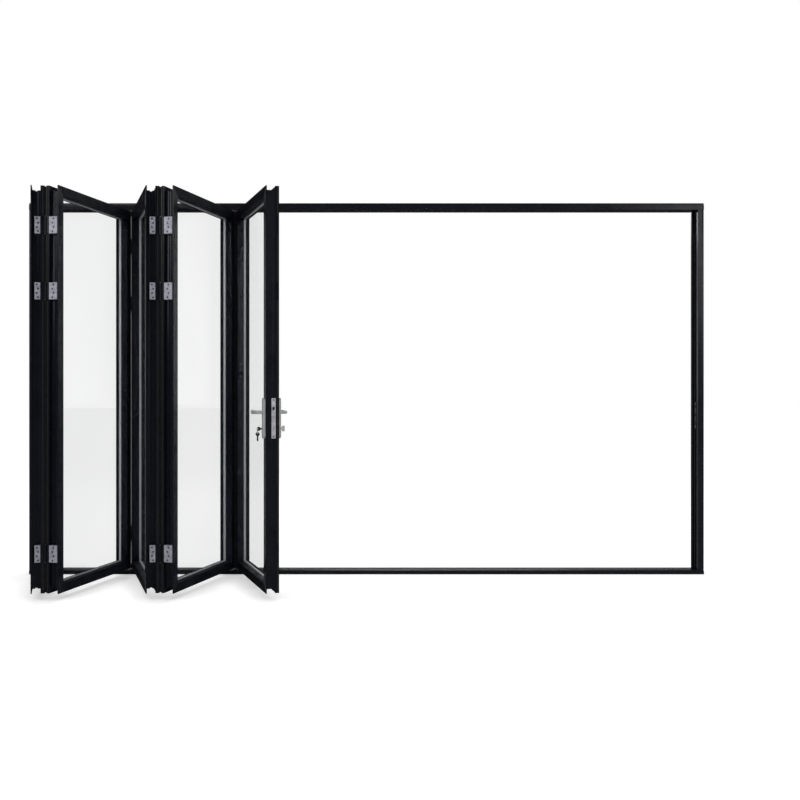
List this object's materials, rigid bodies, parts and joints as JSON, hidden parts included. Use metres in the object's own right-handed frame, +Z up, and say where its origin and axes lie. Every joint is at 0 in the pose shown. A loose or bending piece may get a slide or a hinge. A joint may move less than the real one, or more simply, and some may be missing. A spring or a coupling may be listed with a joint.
{
  "type": "bifold glass patio door",
  "caption": "Wide dark metal folding patio door: outer frame with head track and sill, double glazed leaves folded back on hinges to the left, free leaf with lever lock.",
  "frame": {"origin": "centre of the sill's underside, at mid depth of the frame", "axes": "+X along the width to the strike side, +Z up, -Y outdoors, where the leaves fold to"},
  "size_m": [4, 0.8421, 2.2],
  "materials": {
    "frame_coat": "satin black powder coat",
    "leaf_coat": "satin black powder coat",
    "glass": "clear float glass",
    "spacer": "matt mill finish",
    "rubber": "matt black",
    "bright_metal": "bead blasted",
    "satin_metal": "satin",
    "steel": "plain",
    "dark_steel": "dark zinc",
    "nylon": "white nylon",
    "brass": "nickelled brass"
  },
  "bodies": {
    "frame": {"frame_head": "frame_coat", "frame_sill": "frame_coat", "frame_jamb_left": "frame_coat", "frame_jamb_right": "frame_coat", "strike_plate": "dark_steel", "leaf_1_stiles": "leaf_coat", "leaf_2_stiles": "leaf_coat", "leaf_3_stiles": "leaf_coat", "leaf_4_stiles": "leaf_coat", "leaf_5_stiles": "leaf_coat", "leaf_1_rails": "leaf_coat", "leaf_2_rails": "leaf_coat", "leaf_3_rails": "leaf_coat", "leaf_4_rails": "leaf_coat", "leaf_5_rails": "leaf_coat", "leaf_1_panes": "glass", "leaf_2_panes": "glass", "leaf_3_panes": "glass", "leaf_4_panes": "glass", "leaf_5_panes": "glass", "leaf_1_beads": "leaf_coat", "leaf_2_beads": "leaf_coat", "leaf_3_beads": "leaf_coat", "leaf_4_beads": "leaf_coat", "leaf_5_beads": "leaf_coat", "glass_spacers": "spacer", "glazing_gaskets": "rubber", "hinge_plates": "bright_metal", "hinge_arms_outer": "leaf_coat", "hinge_arms_middle": "leaf_coat", "hinge_pins": "steel", "track_carriers": "dark_steel", "carrier_wheels": "nylon", "sill_guides": "dark_steel", "lock_stile_infill": "leaf_coat", "lock_faceplate": "bright_metal", "lock_case": "steel", "handle_backplates": "satin_metal", "lock_cylinder": "brass", "door_keys": "dark_steel"},
    "lever_set": {"lever_outdoor": "satin_metal", "lever_indoor": "satin_metal", "lever_spindle": "steel"},
    "latch": {"latch_bolt": "steel"}
  },
  "joints": [
    {"name": "lever_turn", "type": "hinge", "parent": "frame", "child": "lever_set", "pos_m": [-0.50908, -0.75758, 0.975], "axis": [-0.9521, -0.3057, 0], "range_deg": [0, 40], "stiffness_Nm_per_rad": 1.2, "springref_deg": -22.92},
    {"name": "latch_slide", "type": "slide", "parent": "frame", "child": "latch", "axis": [-0.3057, 0.9521, 0], "range_m": [0, 0.0101]}
  ],
  "couplings": [
    {"joint": "latch_slide", "follows": "lever_turn", "m_per_rad": 0.014324}
  ]
}
